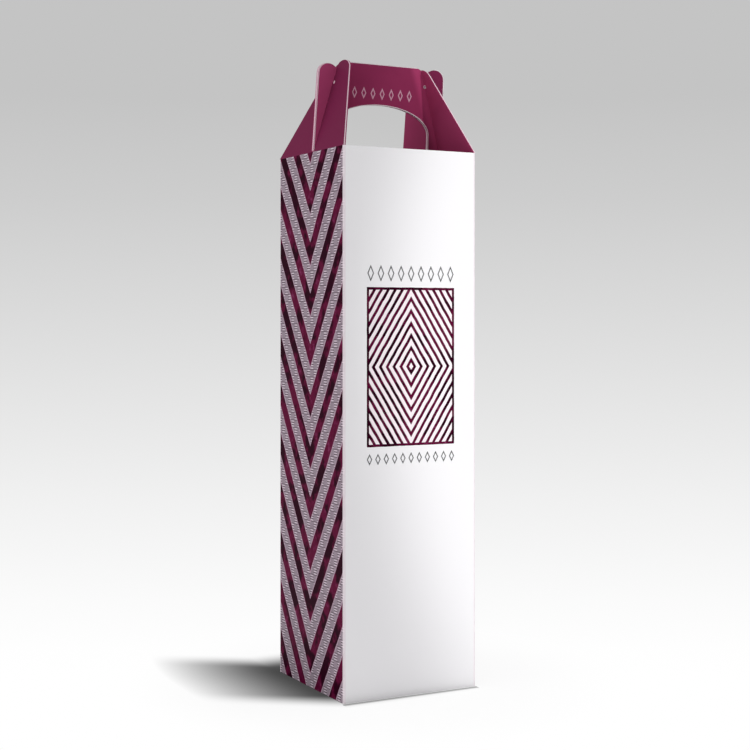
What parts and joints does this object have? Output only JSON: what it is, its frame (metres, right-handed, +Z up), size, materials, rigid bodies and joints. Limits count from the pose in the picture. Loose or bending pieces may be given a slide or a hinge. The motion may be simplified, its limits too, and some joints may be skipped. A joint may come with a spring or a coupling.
{
  "type": "bottle shipping box",
  "caption": "Tall square folding carton for one bottle, with an arched carrying handle, leaning gusset wings and rounded fins folded up from the same board.",
  "frame": {"origin": "centre of the box's foot, on the surface it stands on", "axes": "+Z up along the tall side, +X to the right across the front, -Y out of the white front wall"},
  "size_m": [0.09, 0.09, 0.381],
  "materials": {
    "board": "printed, satin"
  },
  "bodies": {
    "root": {"carton": "board"}
  },
  "joints": []
}
